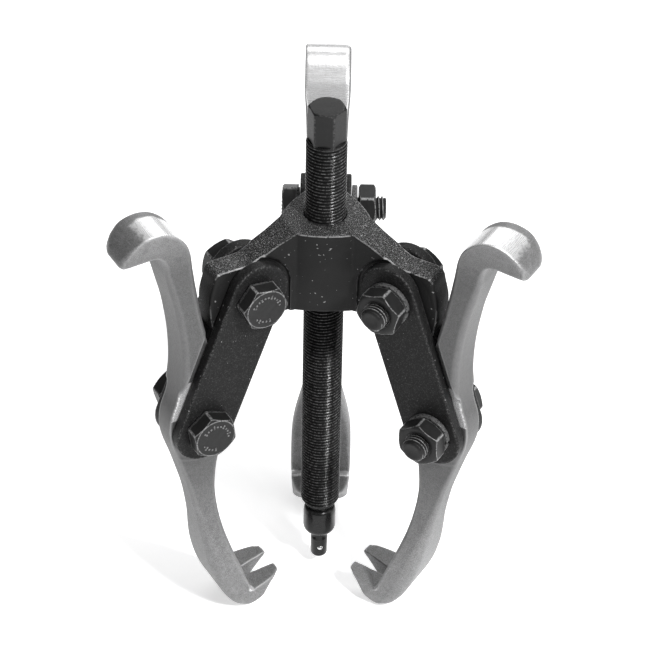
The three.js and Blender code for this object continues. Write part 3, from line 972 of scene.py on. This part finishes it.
def bolt_parts(turn):
    """A bolt along z with its head at +z: head, plain shank and threaded end."""
    rings = [hexagon_ring(HEAD_BASE, HEX_FLATS, r, turn) for r in (7.6, 7.9)]
    rings.append(hexagon_ring(HEAD_BASE + 0.45, HEX_FLATS, 7.9, turn))
    rings += hexagon_rings(HEAD_BASE + 0.5, HEAD_TOP, HEX_FLATS, turn, chamfer_low=False)
    rings += [hexagon_ring(HEAD_TOP, HEX_FLATS, r, turn) for r in (7.9, 7.2)]
    parts = [lofted(rings)]
    for start, count, gap in MARK_ARCS:
        for k in range(count):
            angle = math.radians(turn + start + k * gap)
            for extra in (0.0, 0.95) if k % 3 == 1 else (0.4,):  # every third mark is a pair
                r = MARK_RADIUS + extra - 0.4
                x, y = r * math.cos(angle), r * math.sin(angle)
                parts.append(dome(x, y, HEAD_TOP, MARK_SIZE, MARK_RISE))
    low, high = -BOLT_END, -THREAD_START
    skin = thread_skin(low, high, BOLT_RADIUS, BOLT_PITCH, BOLT_ENVELOPE, columns=64)
    parts.append(close_ends(*skin, low, high, inner_low=[(3.0, low - 0.05), (2.2, low + 0.25)]))
    shank = [(4.2, high - 0.4), (BOLT_RADIUS, high), (BOLT_RADIUS, HEAD_BASE + 0.2)]
    parts.append(lofted(lathe_rings(shank, 48)))
    return join(*parts)


def nut_parts(turn):
    """A hexagon nut along z at -z, with a plain bore that is wider at its mouths."""
    rings = hexagon_rings(-NUT_TOP, -NUT_BASE, HEX_FLATS, turn)
    rings += [hexagon_ring(height, HEX_FLATS, radius, turn) for height, radius in NUT_BORE]
    vertices, faces = ring_loft(rings)
    return vertices, faces, convex_wear(rings)


def washer_parts():
    """A spring lock washer: a square-edged coil of one turn, its ends a little apart in height."""
    inner, outer = WASHER_INNER, WASHER_OUTER
    corners = [(inner, 0), (outer, 0), (outer, WASHER_WIRE), (inner, WASHER_WIRE), (inner, 0)]
    section = rounded(corners, 0.35)[:-1]
    count = 90
    rings = []
    for k in range(count):
        done = k / (count - 1)
        angle = math.radians(WASHER_START + done * WASHER_TURN)
        rise = -WASHER_TOP + WASHER_RISE * done
        rings.append([(r * math.cos(angle), r * math.sin(angle), rise + h) for r, h in section])
    vertices, faces = loft(rings)
    faces = [face[::-1] for face in faces]
    edges = np.array([0.35 if r > outer - 0.4 else 0.0 for r, _ in section])
    wear = np.concatenate([np.tile(edges, count), [0, 0]])
    return vertices, faces, wear


def arm_matrix(pivot, tilt=0.0):
    """Local frame of an arm at a pivot: x outward, y along the bolts, z up, leaning outward."""
    x, y, z = pivot
    out = Vector((x, y, 0)).normalized()
    side = Vector((-out.y, out.x, 0))
    up = Vector((0, 0, 1))
    lean = math.radians(tilt)
    along = up * math.cos(lean) + out * math.sin(lean)
    away = out * math.cos(lean) - up * math.sin(lean)
    basis = Matrix((away, side, along)).transposed().to_4x4()
    return Matrix.Translation((x, y, z)) @ basis


def make_fasteners(arm, end, pivot, body):
    """The bolt, nut and lock washer at one end of an arm's straps."""
    matrix = arm_matrix(pivot)
    head_turn, nut_turn = HEX_TURNS[arm][end]
    made = {
        "bolt": bolt_parts(90 - head_turn),
        "nut": nut_parts(90 - nut_turn),
        "lock_washer": washer_parts(),
    }
    for kind, (vertices, faces, wear) in made.items():
        name = f"{arm}_{end}_{kind}"
        points = about_y(vertices)
        piece = make_object(name + "_detailed", points, faces, FASTENER_BLACK, matrix, wear=wear)
        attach(piece, body)
        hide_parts(name)


# ---------------------------------------- straps

STRAP_BOX = ((-13, 4.5, -76), (13, 11, 16))


def strap_field(x, y, z):
    """The strap on the bolt heads' side, with the yoke's bolt at the origin."""
    reach = np.maximum(np.abs(z + LINK_LENGTH / 2) - LINK_LENGTH / 2 - STRAP_OVERHANG, 0)
    flat = np.hypot(x, reach) - STRAP_RADIUS
    middle = (STRAP_INNER + STRAP_OUTER) / 2
    plate = round_max(flat, np.abs(y - middle) - (STRAP_OUTER - STRAP_INNER) / 2, 0.6)
    for height in (0, -LINK_LENGTH):
        plate = round_max(plate, HOLE_RADIUS - np.hypot(x, z - height), 0.3)
    return plate


def make_straps(arm, top, bottom, shape):
    """An arm's two straps, from the yoke's bolt at top to the jaw's at bottom."""
    vertices, faces, wear = shape
    out = Vector((top[0], top[1], 0)).normalized()
    drop = Vector(bottom) - Vector(top)
    lean = math.degrees(math.atan2(drop.dot(out), -drop.z))
    matrix = arm_matrix(top, -lean)
    for side, sign in (("head_side", 1), ("nut_side", -1)):
        name = f"{arm}_strap_{side}"
        points = vertices * (1, sign, 1)
        quads = faces[:, ::sign]
        piece = make_object(name + "_plate", points, quads, STRAP_BLACK, matrix, wear=wear)
        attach(piece, f"{arm}_link")
        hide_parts(name)


# ---------------------------------------- screw and tip

SCREW_RADIUS = 8.0
SCREW_PITCH = 1.5
SCREW_TOP = 213.2
SCREW_BOTTOM = 28.2
SCREW_ENVELOPE = [
    (SCREW_BOTTOM, 5.5), (29.5, 6.3), (32.4, 7.9), (33.0, 8.2), (212.2, 8.2), (SCREW_TOP, 7.3),
]
DRIVE_TOP = 227.6
DRIVE_FLATS = 13.3
DRIVE_TURN = 291
TIP_PROFILE = [  # (radius, height) from the stub's end up to the spigot inside the screw
    (0.5, 0), (2.6, 0), (3.45, 1.0), (3.5, 9.8), (3.1, 10.8), (3.1, 12.6), (4.2, 13.2), (6.3, 15.2),
    (6.75, 16.6), (6.75, 25.2), (6.2, 27.2), (4.1, 27.8), (4.1, 33.5), (3.1, 33.5), (3.1, 35.3),
    (4.1, 35.3), (4.1, 38.0), (3.6, 38.4), (0.5, 38.4),
]


def make_screw():
    """The threaded screw, hollow below for the tip's spigot, with its drive hexagon."""
    skin = thread_skin(SCREW_BOTTOM, SCREW_TOP, SCREW_RADIUS, SCREW_PITCH, SCREW_ENVELOPE)
    socket = [(5.2, SCREW_BOTTOM - 0.02), (4.6, SCREW_BOTTOM + 0.4), (4.6, 43.0), (0.4, 44.0)]
    thread = close_ends(*skin, SCREW_BOTTOM, SCREW_TOP, inner_low=socket)
    rings = hexagon_rings(SCREW_TOP - 1.5, DRIVE_TOP, DRIVE_FLATS, DRIVE_TURN, chamfer_low=False)
    rings += [hexagon_ring(DRIVE_TOP + 0.02, DRIVE_FLATS, r, DRIVE_TURN) for r in (6.0, 3.0)]
    vertices, faces, wear = join(thread, lofted(rings, 0.8))
    piece = make_object("forcing_screw", vertices, faces, SCREW_BLACK, wear=wear)
    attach(piece, "spindle")
    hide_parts("spindle")


def make_tip():
    """The pressure tip with its stub, and the detent ball where the CAD has it."""
    vertices, faces, wear = lofted(lathe_rings(rounded(TIP_PROFILE, 0.9), 96))
    piece = make_object("pressure_tip", vertices, faces, SCREW_BLACK, wear=wear * 0.4)
    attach(piece, "tip")
    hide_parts("spindle_tip")

    low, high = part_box("detent_ball")
    centre = (low + high) / 2
    radius = (high.z - low.z) / 2 / MM
    arc = np.linspace(0.02, np.pi - 0.02, 25)
    profile = [(radius * math.sin(a), -radius * math.cos(a)) for a in arc]
    vertices, faces = loft(lathe_rings(profile, 40))
    place = Matrix.Translation(centre)
    ball = make_object("detent_ball_polished", vertices, faces, BRIGHT_STEEL, place)
    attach(ball, "tip")
    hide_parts("detent_ball")


# ---------------------------------------- assembly


def make_jaws(pivots):
    """One jaw shape for all three arms, mirrored on the right."""
    field = jaw_field()
    vertices, faces, wear = solid_from_field(field, JAW_BOX, FORGING_STEP)
    normals = gradient(field, vertices)
    normals = normals / np.linalg.norm(normals, axis=1)[:, None]
    for arm in ARM_NAMES:
        ground = jaw_ground(vertices, normals, *GRIND[arm])
        matrix = arm_matrix(pivots[arm]["jaw"], JAW_TILT[arm])
        hand = -1 if arm == "right" else 1
        points = vertices * (1, hand, 1)
        quads = faces[:, ::hand]
        name = f"{arm}_jaw_forging"
        piece = make_object(name, points, quads, FORGED_GREY, matrix, wear=wear, ground=ground)
        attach(piece, f"{arm}_jaw")
        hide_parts(f"{arm}_jaw")


def joint_place(name):
    """Where a joint is, in metres."""
    return next(joint["pos_m"] for joint in frame["joints"] if joint["name"] == name)


pivots = {
    arm: {"yoke": joint_place(f"{arm}_link_swing"), "jaw": joint_place(f"{arm}_jaw_tilt")}
    for arm in ARM_NAMES
}
make_yoke()
make_jaws(pivots)
strap_shape = solid_from_field(strap_field, STRAP_BOX, STRAP_STEP)
for arm in ARM_NAMES:
    make_straps(arm, pivots[arm]["yoke"], pivots[arm]["jaw"], strap_shape)
    make_fasteners(arm, "yoke", pivots[arm]["yoke"], f"{arm}_link")
    make_fasteners(arm, "jaw", pivots[arm]["jaw"], f"{arm}_pivot")
make_screw()
make_tip()

for node, material in (
    ("thrust_ball", BRIGHT_STEEL),
    ("tip_retaining_ring", SPRING_STEEL),
    ("detent_spring", SPRING_STEEL),
):
    frame["nodes"][node].data.materials.clear()
    frame["nodes"][node].data.materials.append(material)


# ---------------------------------------- floor, light and camera

FLOOR_SIZE = 6000.0
FLOOR_GLOW = 0.55  # keeps the shadows on the floor faint
WORLD_STRENGTH = 0.12
LIGHT_TARGET = Vector((0, 0, 0.12))
LIGHTS = (  # name, place in metres, size in metres, power in watts
    ("key", (0.64, -0.8, 1.1), (0.16, 0.16), 17),
    ("right", (1.3, -0.3, 0.6), (0.9, 0.9), 5),
    ("top", (0.3, 0.25, 1.5), (1.1, 1.1), 9),
    ("back", (0.1, 1.1, 0.8), (1.0, 0.5), 4),
)

CAMERA_PITCH = math.radians(38.33)
CAMERA_ROLL = math.radians(-1.16)
CAMERA_DISTANCE = 1163.6 * MM
CAMERA_TARGET = Vector((0.72, 0.0, 122.88)) * MM
CAMERA_LENS = 161.8


def make_floor(height):
    n = Nodes("pale_floor")
    tone = n.noise(0.004, detail=2.0)
    material = n.finish(n.mix(tone, grey(0.9), grey(0.93)), 0.85, 0.0, specular=0.1)
    n.shader.inputs["Emission Color"].default_value = (1, 1, 1, 1)
    n.shader.inputs["Emission Strength"].default_value = FLOOR_GLOW
    corners = [
        (FLOOR_SIZE * x, FLOOR_SIZE * y, height) for x, y in ((-1, -1), (1, -1), (1, 1), (-1, 1))
    ]
    floor = make_object("studio_floor", corners, [(0, 1, 2, 3)], material, smooth=False)


def area_light(name, place, size, power):
    light = bpy.data.lights.new(name, "AREA")
    light.shape = "RECTANGLE"
    light.size, light.size_y = size
    light.energy = power
    thing = bpy.data.objects.new(name, light)
    bpy.context.scene.collection.objects.link(thing)
    thing.location = place
    thing.rotation_euler = (LIGHT_TARGET - Vector(place)).to_track_quat("-Z", "Y").to_euler()


def make_light():
    world = bpy.data.worlds.new("studio")
    world.use_nodes = True
    background = world.node_tree.nodes["Background"]
    background.inputs["Color"].default_value = (1, 1, 1, 1)
    background.inputs["Strength"].default_value = WORLD_STRENGTH
    bpy.context.scene.world = world
    for light in LIGHTS:
        area_light(*light)


def make_camera():
    """A camera that looks down at the target, turned a little about its own axis."""
    ahead = Vector((0, math.cos(CAMERA_PITCH), -math.sin(CAMERA_PITCH)))
    right = Vector((1, 0, 0))
    up = right.cross(ahead)
    x = right * math.cos(CAMERA_ROLL) - up * math.sin(CAMERA_ROLL)
    y = right * math.sin(CAMERA_ROLL) + up * math.cos(CAMERA_ROLL)
    data = bpy.data.cameras.new("camera")
    data.sensor_width = 36.0
    data.lens = CAMERA_LENS
    data.clip_end = 20.0
    camera = bpy.data.objects.new("camera", data)
    bpy.context.scene.collection.objects.link(camera)
    place = Matrix.Translation(CAMERA_TARGET - ahead * CAMERA_DISTANCE)
    camera.matrix_world = place @ Matrix((x, y, -ahead)).transposed().to_4x4()
    bpy.context.scene.camera = camera


make_floor(cad_bounds[0][2] / MM)
make_light()
make_camera()
bpy.context.scene.view_settings.view_transform = "Standard"
